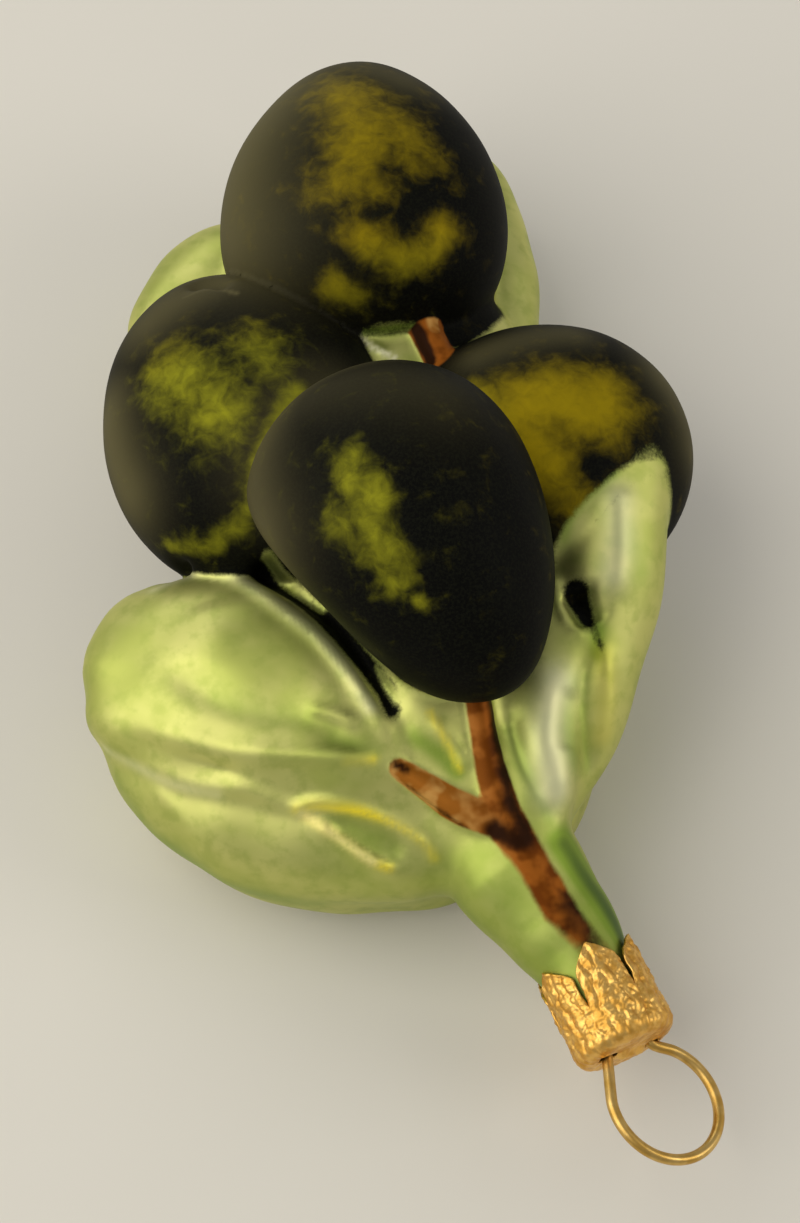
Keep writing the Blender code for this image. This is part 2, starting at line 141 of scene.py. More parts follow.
# Folds pressed into the glass by the mould: width to where they fade, rise outward.
LEAF_GROOVE = ((-25.5, 8.6, 21.0), (-19.8, 10.0, 21.5), (-14.4, 7.9, 23.0), (-11.0, 3.6, 24.2),
               (-7.7, -0.8, 24.8), (-5.9, -5.6, 25.5), (-4.3, -11.0, 25.8), (-3.4, -14.8, 25.2))
FOLDS = (
    # the large leaf: the groove beyond its rim, and the lit rim itself
    Fold(LEAF_GROOVE, 1.1, -1.5),
    Fold(((-24.5, 7.4, 22.2), (-19.7, 8.0, 22.6), (-15.6, 5.2, 24.6), (-12.6, 0.9, 25.7), (-9.8, -3.3, 26.6),
          (-7.8, -7.7, 26.9), (-6.2, -12.5, 26.5), (-5.2, -15.2, 25.5), (-5.4, -17.2, 24.7)), 0.9, 0.4),
    # its midrib: a ridge, a narrow furrow under it, and a lower ridge
    Fold(((-32.5, -3.6, 17.4), (-27.3, -8.4, 21.5), (-21.7, -12.4, 23.2), (-16.3, -14.8, 24.4),
          (-10.4, -16.6, 25.0), (-6.3, -17.8, 24.3)), 0.9, 0.55),
    Fold(((-31.8, -5.5, 17.9), (-26.3, -10.6, 20.8), (-22.9, -13.0, 21.5), (-19.5, -15.2, 21.8)), 0.8, -0.55),
    Fold(((-32.6, -6.3, 17.1), (-28.9, -10.8, 18.8), (-25.9, -13.6, 19.9), (-22.8, -15.4, 20.7),
          (-20.1, -16.6, 21.5), (-17.6, -18.3, 21.2), (-15.5, -19.5, 21.4)), 0.8, 0.45),
    # the soft furrow across the upper half, and the ridge that crosses it
    Fold(((-26.8, -0.9, 24.7), (-23.7, -4.5, 25.1), (-21.3, -7.4, 25.4), (-17.5, -10.0, 25.6),
          (-12.6, -12.0, 26.5), (-9.7, -14.6, 25.9), (-6.9, -16.6, 25.1)), 1.7, -0.5),
    Fold(((-13.0, -10.9, 26.6), (-10.0, -12.5, 26.2), (-7.6, -14.2, 25.7)), 0.7, 0.45),
    Fold(((-20.5, 3.6, 24.0), (-20.4, -1.0, 26.2), (-22.0, -5.0, 26.1)), 2.6, 0.3),
    # the almond-shaped fold below the midrib
    Fold(((-17.0, -18.8, 21.2), (-15.5, -19.5, 21.4), (-13.2, -19.8, 21.9), (-9.7, -21.5, 22.0),
          (-6.3, -23.6, 21.3), (-3.9, -25.8, 20.2), (-2.5, -28.0, 18.2)), 0.65, 0.5),
    Fold(((-15.2, -20.1, 21.3), (-12.1, -23.4, 20.6), (-9.4, -26.3, 19.5), (-6.4, -27.8, 18.1)), 0.95, 0.5),
    Fold(((-13.1, -21.4, 21.4), (-9.3, -24.0, 20.2), (-5.6, -26.6, 19.2)), 1.3, -0.5),
    # the flattened strip along its foot
    Fold(((-30.4, -10.4, 17.7), (-27.5, -15.2, 17.2), (-25.0, -20.5, 14.0), (-22.5, -23.5, 12.0)), 0.8, 0.3),
    # the two leaves on the other side: the drop-shaped hollow, the line between them, soft ribs
    Fold(((17.2, -4.6, 26.4), (17.6, -7.0, 25.6), (18.0, -9.6, 25.6)), 1.7, -1.3),
    Fold(((15.6, -2.8, 26.4), (15.5, -5.1, 26.0), (15.8, -8.0, 26.0), (17.2, -10.6, 25.8)), 0.7, 0.4),
    Fold(((18.2, -11.1, 25.6), (16.3, -13.4, 24.0), (15.3, -16.6, 22.8), (14.7, -19.9, 20.6),
          (14.5, -22.5, 18.0)), 1.1, -0.45),
    Fold(((23.6, 3.6, 31.2), (23.4, 1.1, 30.8), (22.4, -3.9, 29.2), (20.7, -7.7, 27.6)), 1.6, 0.4),
    Fold(((19.2, -10.8, 25.8), (18.4, -14.7, 23.7), (17.8, -17.3, 21.8), (16.1, -20.6, 19.6)), 1.1, 0.35),
    Fold(((14.0, -11.5, 26.0), (11.5, -16.2, 25.3), (10.4, -19.5, 24.5), (10.9, -22.7, 22.6),
          (10.6, -27.0, 19.8)), 2.0, 0.3),
    Fold(((14.3, -14.2, 24.7), (13.1, -17.9, 23.6), (12.5, -20.8, 21.7)), 1.3, -0.4),
    Fold(((7.2, -15.0, 24.0), (7.4, -17.8, 23.4), (7.9, -21.8, 22.2), (9.0, -26.3, 20.8)), 1.3, -0.4),
    # the web between the stem and the large leaf
    Fold(((-0.9, -14.9, 26.1), (1.4, -18.0, 24.7), (2.1, -20.9, 23.8)), 0.7, 0.35),
    # the green ridge between the top olives
    Fold(((2.2, 29.9, 27.5), (3.9, 28.1, 26.9), (5.6, 26.2, 26.9)), 0.7, 0.4),
    # the dent near the top of the left olive
    Fold(((-14.0, 37.9, 29.4), (-12.5, 38.6, 28.8), (-11.0, 38.0, 29.5), (-9.6, 36.4, 30.9)), 0.9, -0.9),
)

# Where black lacquer ran into the grooves beside the olives, with black painted shade in the gap between the
# top olives, and where the lacquer stopped short.
BLACK_RUNS_AND_SHADE = (
    Stroke(((-20.6, 10.8, 22.5), (-18.0, 9.8, 24.0), (-15.0, 8.2, 25.0), (-12.0, 5.6, 24.0)), 0.4, 1.5),
    Stroke(((-13.4, 6.7, 22.7), (-10.6, 3.2, 22.4), (-7.9, -2.2, 24.4), (-6.0, -6.7, 25.2),
            (-4.4, -10.9, 26.0), (-4.2, -13.2, 25.8)), 2.0, 0.85),
    Stroke(((-9.5, 4.0, 25.0), (-6.8, -1.5, 27.0), (-5.0, -6.0, 27.5)), 1.6, 0.6),
    Stroke(((17.4, -5.2, 26.0), (17.7, -7.6, 25.4), (18.1, -9.6, 25.3), (18.5, -12.0, 25.8)), 1.4, 0.1),
    # painted shade: black in the gap between the top olives, beside the short stem
    Stroke(((12.6, 30.2, 25.6), (12.9, 27.8, 25.6), (14.3, 28.8, 24.7), (16.4, 30.4, 23.4),
            (17.9, 31.9, 22.1), (19.0, 33.4, 20.4)), 1.7, 1.4),
)
GREEN_RUNS = (
    Stroke(((-12.5, 6.5, 26.0), (-11.2, 5.4, 22.5), (-9.5, 2.8, 22.6), (-8.2, 0.9, 23.2)), 0.6, 0.6),
    Stroke(((-4.5, -8.3, 26.2), (-4.0, -10.3, 26.4), (-3.2, -12.3, 26.3)), 0.15, 0.6),
    Stroke(((3.4, 29.1, 28.2), (5.4, 29.1, 28.1), (8.6, 28.8, 27.9)), 0.3, 0.3),
    Stroke(((17.2, -1.4, 28.7), (19.3, 0.6, 29.8), (22.8, 2.7, 31.3), (26.3, 4.6, 30.9),
            (29.2, 5.3, 29.6)), 1.3, 0.9),
)

# Thin places in the black where the silvering glows through.
PATCHES = (
    Patch(((-4.0, 3.5, 48.6), (-3.8, 0.0, 48.0), (-3.4, -3.5, 46.8), (-2.6, -7.5, 45.0)), 2.4, 0.7),
    Patch(((-2.6, 1.0, 48.9), (-2.8, -1.0, 48.4)), 1.8, 0.9),
    Patch(((-6.5, -0.5, 46.8), (-4.6, -4.6, 46.0)), 2.2, 0.6),
    Patch(((-0.7, -10.0, 43.7), (-0.5, -10.4, 43.5)), 0.8, 0.9),
    Patch(((-17.5, 26.5, 33.0), (-15.8, 24.0, 34.0), (-14.6, 20.0, 34.4)), 4.6, 0.8),
    Patch(((-9.0, 27.5, 34.2), (-8.0, 24.5, 34.8)), 3.4, 0.6),
    Patch(((-6.0, 20.5, 34.5), (-9.5, 16.0, 34.5), (-12.5, 11.0, 32.6)), 1.5, 0.95),
    Patch(((-13.5, 10.5, 30.5), (-17.8, 8.3, 27.5), (-22.0, 11.0, 24.8)), 1.4, 0.7),
    Patch(((12.0, 15.5, 33.0), (14.5, 11.5, 33.6), (17.0, 7.0, 33.3)), 3.6, 1.25),
    Patch(((15.0, 13.0, 33.6), (20.0, 13.0, 34.0), (24.0, 12.0, 33.6)), 5.0, 1.25),
    Patch(((18.0, 4.5, 32.0), (19.3, 2.5, 31.4)), 2.8, 0.85),
    Patch(((7.0, 54.0, 36.3), (8.5, 50.0, 37.6), (7.0, 46.0, 38.6), (5.2, 42.0, 38.8)), 5.0, 0.8),
    Patch(((11.5, 49.0, 37.6), (12.8, 44.0, 37.8)), 4.0, 0.65),
    Patch(((4.5, 36.0, 36.6), (7.5, 33.6, 35.2), (10.5, 33.0, 34.5), (13.5, 35.5, 34.6)), 2.4, 0.9),
    Patch(((1.0, 33.0, 32.6), (2.5, 32.0, 32.0)), 2.0, 0.9),
)

# Painted sheen: a lighter brownish green on the flanks and rims of the olives, and a painted highlight line
# under the dent in the left olive.
PAINTED_SHEEN = (
    Patch(((-7.5, 44.0, 29.0), (-6.0, 52.0, 30.5), (0.0, 59.5, 31.0)), 9.5, 0.9),
    Patch(((7.4, 62.0, 32.0), (14.0, 56.0, 33.0)), 4.0, 0.5),
    Patch(((-25.5, 26.0, 26.0), (-25.5, 18.0, 26.0)), 5.0, 0.9),
    Patch(((-14.6, 36.6, 30.2), (-12.4, 37.2, 30.2), (-10.6, 36.6, 30.7), (-9.2, 35.2, 31.6)), 0.6, 1.0),
    Patch(((-19.0, 36.0, 30.0), (-10.0, 39.0, 30.0)), 5.0, 0.7),
    Patch(((-11.5, 4.0, 38.0), (-9.0, 12.5, 38.0), (-1.0, 18.0, 38.0)), 6.0, 0.9),
    Patch(((-6.8, 13.9, 44.4), (-2.8, 13.0, 47.1), (6.1, 9.4, 48.2)), 5.0, 0.22),
    Patch(((32.5, 16.0, 26.0), (33.0, 10.0, 24.0)), 4.0, 0.9),
    Patch(((14.0, 22.0, 31.0), (24.0, 22.0, 30.0)), 3.0, 0.5),
)

# Painted shade: deeper green in the hollows, round the stem, along the large leaf's foot, in the gap between
# the top olives and on the neck's shaded right side.
PAINTED_SHADE = (
    Patch(((-2.6, -16.5, 25.5), (-0.5, -18.5, 24.6), (0.8, -20.5, 23.8)), 1.3, 0.8),
    Patch(((-21.3, -7.6, 25.4), (-17.5, -10.2, 25.6), (-13.0, -12.2, 26.4)), 1.7, 0.4),
    Patch(((-10.5, -14.8, 26.0), (-7.0, -16.8, 25.0)), 1.3, 0.5),
    Patch(((-12.5, -21.6, 21.2), (-8.0, -24.8, 19.9)), 1.2, 0.5),
    Patch(((-31.8, -9.7, 14.5), (-29.8, -16.0, 12.0), (-22.0, -24.0, 11.0), (-12.0, -30.0, 12.0),
           (-4.0, -33.0, 13.0)), 3.0, 0.6),
    Patch(((14.3, -14.2, 24.7), (13.1, -17.9, 23.6), (12.5, -21.5, 21.5)), 1.5, 0.55),
    Patch(((16.3, -13.4, 24.0), (15.2, -17.0, 22.6), (14.6, -21.5, 19.0)), 0.8, 0.5),
    Patch(((7.3, -17.2, 23.3), (7.9, -21.8, 22.2), (9.2, -27.0, 20.6)), 1.1, 0.55),
    Patch(((18.6, -9.5, 26.0), (17.8, -12.0, 25.4)), 1.0, 0.8),
    Patch(((17.0, -1.0, 28.8), (18.3, 1.6, 30.5), (21.0, 3.4, 31.6), (23.7, 4.7, 31.7)), 1.0, 0.7),
    Patch(((23.5, -1.0, 30.0), (24.5, -5.0, 27.5)), 1.8, 0.5),
    Patch(((9.5, -29.0, 18.5), (11.8, -34.0, 16.5), (14.4, -40.0, 14.5), (15.4, -43.0, 13.5)), 2.4, 1.5),
    Patch(((2.0, 30.1, 28.1), (5.1, 29.3, 27.7), (8.4, 29.1, 27.6), (11.3, 29.3, 27.4)), 0.9, 0.8),
)

# Painted highlights along the folds and crests of the leaves: cream, and golden.
CREAM_HIGHLIGHTS = (
    Patch(((-24.5, 7.4, 22.2), (-19.7, 8.0, 22.6), (-15.6, 5.2, 24.6), (-12.6, 0.9, 25.7), (-9.8, -3.3, 26.6),
           (-7.8, -7.7, 26.9), (-6.2, -12.5, 26.5)), 0.8, 0.42),
    Patch(((-32.6, -6.3, 17.1), (-28.9, -10.8, 18.8), (-25.9, -13.6, 19.9), (-22.8, -15.4, 20.7)), 0.7, 0.8),
    Patch(((-15.2, -20.1, 21.3), (-12.1, -23.4, 20.6), (-9.4, -26.3, 19.5)), 0.6, 0.4),
    Patch(((13.0, -14.0, 25.6), (11.4, -17.7, 24.8), (10.8, -21.0, 23.5), (10.4, -24.0, 21.9)), 2.1, 0.6),
    Patch(((23.9, 1.9, 31.2), (23.3, -0.2, 30.5), (22.6, -2.5, 29.6), (21.4, -5.2, 28.6)), 1.8, 0.4),
    Patch(((2.8, 28.9, 27.6), (4.2, 27.5, 27.3), (5.9, 26.1, 26.9)), 0.35, 0.8),
)
GOLDEN_HIGHLIGHTS = (
    Patch(((-15.5, -19.5, 21.4), (-13.2, -19.8, 21.9), (-9.7, -21.5, 22.0), (-6.3, -23.6, 21.3),
           (-3.9, -25.8, 20.2), (-3.2, -27.4, 18.8)), 0.6, 1.0),
    Patch(((-15.0, -20.4, 21.3), (-12.1, -23.4, 20.6), (-9.4, -26.3, 19.5), (-7.8, -27.2, 18.8)), 0.55, 0.8),
    Patch(((-9.8, -16.9, 24.9), (-7.2, -17.4, 24.6)), 0.5, 0.9),
    Patch(((-0.5, -14.5, 26.3), (0.4, -17.4, 25.2), (1.2, -20.3, 23.7)), 0.4, 0.5),
    Patch(((18.4, -12.2, 25.3), (18.1, -14.5, 24.1), (17.6, -16.6, 22.8), (16.7, -19.1, 21.0)), 1.4, 0.22),
)

# Knots and dark ends on the stem, and painted shade along its right side and near the cap.
KNOTS_AND_SHADE = (
    Patch(((3.4, -26.8, 22.0), (5.6, -28.2, 21.2), (5.6, -25.0, 22.2)), 1.7, 1.0),
    # painted shade along the main stem's right side
    Patch(((6.1, -27.0, 21.6), (5.6, -24.6, 22.6), (5.7, -19.0, 23.6), (6.2, -14.6, 25.2)), 1.5, 1.0),
    Patch(((-5.2, -18.4, 24.6), (-4.2, -19.0, 24.6)), 0.8, 1.0),
    Patch(((-4.4, -20.6, 23.0), (-1.5, -23.4, 22.0), (1.6, -27.4, 20.6)), 0.6, 0.7),
    # painted shade on the stem near the cap
    Patch(((9.0, -35.5, 18.6), (10.0, -38.5, 17.6), (11.2, -42.0, 16.8)), 2.5, 0.95),
    Patch(((9.0, 30.5, 27.2), (9.1, 27.5, 27.4), (9.5, 24.5, 27.4)), 0.9, 1.4),
)

# The short stem between the top olives, paler than the rest.
PALE = (
    Patch(((11.0, 30.6, 27.6), (11.1, 28.4, 27.9)), 1.0, 1.0),
)

# Neck axis: middle of the cap's closed end, and the way the neck points.
CAP_END = (11.52, -49.51, 12.47)
NECK_YAW = 11.4
NECK_DROOP = 1.5
BORE_RADIUS = 3.3
BORE_DEPTH = 18.3
NECK_START = 2.8

# Crown cap: drawn sheet, its wall parted into stamped petals whose tips sit off their middles.
CAP_RADIUS = 5.4
CAP_SHEET = 0.3
CAP_HEIGHT = 10.7
CAP_CORNER = 1.3
CAP_TURN = 1.0
PETAL_TIPS = (-0.05, 0.1, -0.2, 0.15, 0.0, -0.2)
PETAL_ROOFS = (2.8, 2.4, 2.7, 2.5, 2.8, 2.4)
SLIT_START = 4.6
SLIT_WIDTH = 0.45
CAP_COLUMNS = 40
CAP_ROWS = 72
RIDGES = 25
STRAP_REACH = 1.5
STRAP_RISE = 0.6
SLOT_LENGTH = 2.2
SLOT_WIDTH = 1.9
SLOT_CORNER = 0.35
SLOT_DEPTH = 4.0

WIRE_RADIUS = 0.58
LOOP_RADIUS = 6.1
LOOP_RISE = 6.3
LOOP_LEAN = 0.9
SLOT_SPACING = 2.8
HANGER_ROLL = -25.0
LOOP_START = 60.0
LOOP_END = 336.0
LOOP_POINTS = 17
WIRE_SIDES = 20
# How far the wire's far side stays inside the frame's.
WIRE_INSET = 0.03

# The room, in metres, and the camera over the cap's side of the ornament.
CARD_CLOUD = 60.0
AIM_HEIGHT = 0.02
ROOM_BRIGHTNESS = 0.37
VIEW_AROUND = 14.0
VIEW_DOWN = 65.0
VIEW_DISTANCE = 0.3
SENSOR_HEIGHT = 24.0
LENS_LENGTH = 55.928

# --- soft solids, in millimetres -------------------------------------------------------


def unit(vector):
    """The vector at length one."""
    vector = np.asarray(vector, float)
    return vector / np.linalg.norm(vector)


def melt(first, second, reach):
    """The nearer of two distances, run together where they are within reach."""
    mix = np.clip(0.5 + 0.5 * (second - first) / reach, 0.0, 1.0)
    return second * (1.0 - mix) + first * mix - reach * mix * (1.0 - mix)


def egg_distance(points, egg):
    """Distance to an olive shape."""
    turn = math.radians(egg.turn)
    axes = np.array(
        [[math.cos(turn), math.sin(turn), 0.0], [-math.sin(turn), math.cos(turn), 0.0], UP]
    )
    half = np.array(egg.half_sizes)
    local = (points - np.array(egg.centre)) @ axes.T
    girth = np.clip(1.0 + egg.taper * local[:, 1] / half[1], 0.5, 1.6)
    local = np.stack([local[:, 0] / girth, local[:, 1], local[:, 2] / girth], axis=1)
    near = np.linalg.norm(local / half, axis=1)
    slope = np.linalg.norm(local / half ** 2, axis=1)
    return near * (near - 1.0) / np.maximum(slope, 1e-9)


def leaf_distance(points, leaf):
    """Distance to a puffed leaf, lens-shaped across its midrib."""
    base = np.array(leaf.base)
    run = np.array(leaf.tip) - base
    length = np.linalg.norm(run)
    along = run / length
    up = unit(np.array(leaf.normal) - np.dot(leaf.normal, along) * along)
    across = np.cross(up, along)
    local = points - base
    where = local @ along / length
    side = local @ across
    rise = local @ up
    swell = np.sin(np.pi * np.clip(where, 0.0, 1.0) ** leaf.fullness)
    width = np.maximum(np.where(side > 0.0, leaf.left, leaf.right) * swell ** leaf.bluntness, 0.8)
    height = np.maximum(leaf.thickness * swell ** (0.8 * leaf.bluntness), 0.8)
    near = (np.abs(side / width) ** LEAF_SQUARENESS + np.abs(rise / height) ** LEAF_SQUARENESS)
    near = (near ** (1.0 / LEAF_SQUARENESS) - 1.0) * np.minimum(width, height)
    beyond = np.maximum(np.maximum(-where, where - 1.0), 0.0) * length
    return np.where(beyond > 0.0, np.hypot(np.maximum(near, 0.0), beyond), near)


def rod_distance(points, rod):
    """Distance to a round rod with ball ends."""
    start = np.array(rod.start)
    run = np.array(rod.end) - start
    where = np.clip((points - start) @ run / (run @ run), 0.0, 1.0)
    gap = np.linalg.norm(points - start - where[:, None] * run, axis=1)
    return gap - (rod.start_radius + (rod.end_radius - rod.start_radius) * where)


def smooth_route(points, steps):
    """Points along a Catmull-Rom curve through the given points."""
    knots = [2.0 * np.array(points[0]) - np.array(points[1])]
    knots += [np.array(point, float) for point in points]
    knots += [2.0 * np.array(points[-1]) - np.array(points[-2])]
    route = []
    for a, b, c, d in zip(knots, knots[1:], knots[2:], knots[3:]):
        for step in range(steps):
            t = step / steps
            square = (2.0 * a - 5.0 * b + 4.0 * c - d) * t * t
            route.append(0.5 * (2.0 * b + (c - a) * t + square + (3.0 * b - a - 3.0 * c + d) * t ** 3))
    route.append(knots[-2])
    return np.array(route)


def route_distance(points, route, reach):
    """Distance to a route and where along it, worked out only within its reach."""
    gap = np.full(len(points), reach * 4.0)
    where = np.zeros(len(points))
    low = route.min(axis=0) - reach
    high = route.max(axis=0) + reach
    close = np.flatnonzero(np.all((points > low) & (points < high), axis=1))
    picked = points[close]
    if len(picked):
        starts = route[:-1]
        runs = route[1:] - starts
        local = picked[:, None, :] - starts[None]
        along = np.clip(np.sum(local * runs, axis=2) / np.sum(runs * runs, axis=1), 0.0, 1.0)
        gaps = np.linalg.norm(local - along[..., None] * runs, axis=2)
        best = np.argmin(gaps, axis=1)
        rows = np.arange(len(picked))
        gap[close] = gaps[rows, best]
        where[close] = (best + along[rows, best]) / len(runs)
    return gap, where


# Folds and strokes are placed mostly by how they look from above, so height counts for less.
FLATTEN = np.array([1.0, 1.0, 0.45])
FOLD_ROUTES = [(smooth_route(fold.route, 4) * FLATTEN, fold) for fold in FOLDS]


def fold_height(points):
    """How far the mould's folds lift or sink the skin."""
    height = np.zeros(len(points))
    pressed = points * FLATTEN
    for route, fold in FOLD_ROUTES:
        gap, where = route_distance(pressed, route, fold.width * 2.4)
        fade = np.clip(5.0 * np.minimum(where, 1.0 - where), 0.15, 1.0)
        height += fold.rise * fade * np.exp(-(gap / fold.width) ** 2)
    return height


def waviness(points):
    """The slow unevenness of glass blown into a mould."""
    x, y, z = points.T
    wave = np.sin(x * 0.31 + y * 0.12 + 1.3) * np.sin(y * 0.27 - z * 0.2 + 0.4)
    ripple = np.sin(x * 0.52 - y * 0.48 + z * 0.3) * np.sin(y * 0.41 + x * 0.22 + 2.1)
    return 0.2 * wave + 0.08 * ripple


def layers(points):
    """Distances to the olives, to the green glass and to the stem."""
    front = egg_distance(points, FRONT_OLIVE)
    front = -melt(-front, -(points - np.array(FRONT_FLAT)) @ np.array(FRONT_FLAT_WAY), 3.0)
    olive = np.min([front] + [egg_distance(points, egg) for egg in OLIVES], axis=0)
    green = egg_distance(points, CORE[0])
    for egg in CORE[1:]:
        green = melt(green, egg_distance(points, egg), BODY_MELT)
    for rod in SHOULDER:
        green = melt(green, rod_distance(points, rod), BODY_MELT)
    for leaf in LEAVES:
        green = melt(green, leaf_distance(points, leaf), LEAF_MELT)
    wood = np.min([rod_distance(points, rod) for rod in BRANCH], axis=0)
    return olive, green, wood


def neck_axes():
    """Right, up and out directions of the neck."""
    yaw = math.radians(NECK_YAW)
    droop = math.radians(NECK_DROOP)
    out = np.array([math.sin(yaw) * math.cos(droop), -math.cos(yaw) * math.cos(droop), -math.sin(droop)])
    right = unit(np.cross(UP, out))
    return right, np.cross(out, right), out


def bore_distance(points):
    """Distance to the open bore down the neck, and to the cut past the neck's end."""
    out = neck_axes()[2]
    local = points - np.array(CAP_END)
    along = local @ out
    gap = np.linalg.norm(local - along[:, None] * out, axis=1)
    bore = np.maximum(gap - BORE_RADIUS, -along - BORE_DEPTH)
    return bore, along + NECK_START


def skin_distance(points):
    """Distance to the finished glass."""
    olive, green, wood = layers(points)
    green = green - waviness(points)
    skin = melt(green, olive - 0.3 * waviness(points), OLIVE_MELT)
    skin = melt(skin, wood, WOOD_MELT) - fold_height(points)
    bore, past = bore_distance(points)
    return np.maximum(np.maximum(skin, -bore), past)


# --- meshing the skin ------------------------------------------------------------------


def sample_band(low, counts):
    """The skin's distance on a grid, worked out finely only near the surface."""
    coarse_counts = [count // BAND_STRIDE + 2 for count in counts]
    steps = [low[i] + np.arange(coarse_counts[i]) * CELL * BAND_STRIDE for i in range(3)]
    nodes = np.stack(np.meshgrid(*steps, indexing="ij"), axis=-1).reshape(-1, 3)
    coarse = skin_distance(nodes).reshape(coarse_counts)
    field = coarse
    for axis in range(3):
        field = np.repeat(field, BAND_STRIDE, axis=axis)
    half = BAND_STRIDE // 2
    field = field[half:, half:, half:][:counts[0], :counts[1], :counts[2]].copy()
    near = np.argwhere(np.abs(field) < CELL * BAND_STRIDE * 2.0)
    field[tuple(near.T)] = skin_distance(np.array(low) + near * CELL)
    return field


def shifted(array, offset):
    """The array's part that starts at the offset, cut to the number of cells."""
    part = tuple(slice(offset[i], offset[i] + array.shape[i] - 1) for i in range(3))
    return array[part]


def net_points(field, low):
    """One point in each crossed cell, at the middle of its edge crossings."""
    shape = tuple(size - 1 for size in field.shape)
    total = np.zeros(shape + (3,))
    count = np.zeros(shape)
    for axis in range(3):
        others = [i for i in range(3) if i != axis]
        for a in (0, 1):
            for b in (0, 1):
                start = [0, 0, 0]
                start[others[0]] = a
                start[others[1]] = b
                end = list(start)
                end[axis] = 1
                here = shifted(field, start)
                there = shifted(field, end)
                crossed = (here < 0.0) != (there < 0.0)
                where = np.where(crossed, here / np.where(crossed, here - there, 1.0), 0.0)
                for i in range(3):
                    total[..., i] += crossed * (where if i == axis else start[i])
                count += crossed
    cells = np.argwhere(count > 0)
    inner = total[tuple(cells.T)] / count[tuple(cells.T)][:, None]
    index = np.full(shape, -1)
    index[tuple(cells.T)] = np.arange(len(cells))
    return np.array(low) + (cells + inner) * CELL, index


def net_faces(field, index):
    """A four-sided face round each grid edge that the skin crosses."""
    faces = []
    for axis in range(3):
        first, second = [i for i in range(3) if i != axis]
        here = field[tuple(slice(0, -1) if i == axis else slice(1, -1) for i in range(3))]
        there = field[tuple(slice(1, None) if i == axis else slice(1, -1) for i in range(3))]
        for leaving in (True, False):
            crossed = ((here < 0.0) & (there >= 0.0)) if leaving else ((here >= 0.0) & (there < 0.0))
            at = np.argwhere(crossed)
            corners = []
            for da, db in ((0, 0), (1, 0), (1, 1), (0, 1)):
                cell = at.copy()
                cell[:, first] += da
                cell[:, second] += db
                corners.append(index[tuple(cell.T)])
            if leaving == (axis == 1):
                corners.reverse()
            faces.append(np.stack(corners, axis=1))
    return np.concatenate(faces)


def skin_normals(points):
    """Outward directions of the skin."""
    slope = np.empty_like(points)
    for axis in range(3):
        step = np.zeros(3)
        step[axis] = GRADIENT_STEP
        slope[:, axis] = skin_distance(points + step) - skin_distance(points - step)
    return slope / np.maximum(np.linalg.norm(slope, axis=1, keepdims=True), 1e-9)


def even_out(points, faces):
    """Move each point halfway to the middle of its neighbours."""
    total = np.zeros_like(points)
    count = np.zeros(len(points))
    for a, b in ((0, 1), (1, 2), (2, 3), (3, 0)):
        for start, end in ((faces[:, a], faces[:, b]), (faces[:, b], faces[:, a])):
            for i in range(3):
                total[:, i] += np.bincount(start, points[end, i], len(points))
            count += np.bincount(start, minlength=len(points))
    return 0.5 * points + 0.5 * total / count[:, None]


def press_to_skin(points):
    """Move points straight onto the skin."""
    gap = np.clip(skin_distance(points), -PRESS_LIMIT, PRESS_LIMIT)
    return points - gap[:, None] * skin_normals(points)


def round_tips(points, faces):
    """Soften the blunt tips of the leaves, where the skin turns too tightly."""
    gaps = [np.linalg.norm(points - np.array(leaf.tip), axis=1) for leaf in LEAVES]
    amount = np.clip((TIP_REACH - np.min(gaps, axis=0)) / TIP_FADE, 0.0, 1.0)[:, None]
    for _ in range(TIP_PASSES):
        points = points + amount * (even_out(points, faces) - points)
    return points


def mesh_skin():
    """Points and faces of the glass skin."""
    counts = [int((b - a) / CELL) for a, b in zip(GRID_LOW, GRID_HIGH)]
    field = sample_band(GRID_LOW, counts)
    points, index = net_points(field, GRID_LOW)
    faces = net_faces(field, index)
    for _ in range(SKIN_PASSES):
        points = press_to_skin(even_out(points, faces))
    return round_tips(press_to_skin(points), faces), faces


# --- where each lacquer goes, and where shade, sheen and highlights are painted ----------


def spots(points, patches):
    """How strongly each point is covered by a set of soft patches, 0 to 1."""
    cover = np.zeros(len(points))
    for patch in patches:
        gap, _ = route_distance(points, smooth_route(patch.route, 4), patch.radius * 2.6)
        cover = np.maximum(cover, patch.strength * np.exp(-(gap / patch.radius) ** 2))
    return cover


def stroke_depth(points, stroke):
    """How far inside a painted stroke each point lies, in millimetres."""
    gap, where = route_distance(points * FLATTEN, smooth_route(stroke.route, 4) * FLATTEN, 6.0)
    return stroke.width + (stroke.end_width - stroke.width) * where - gap


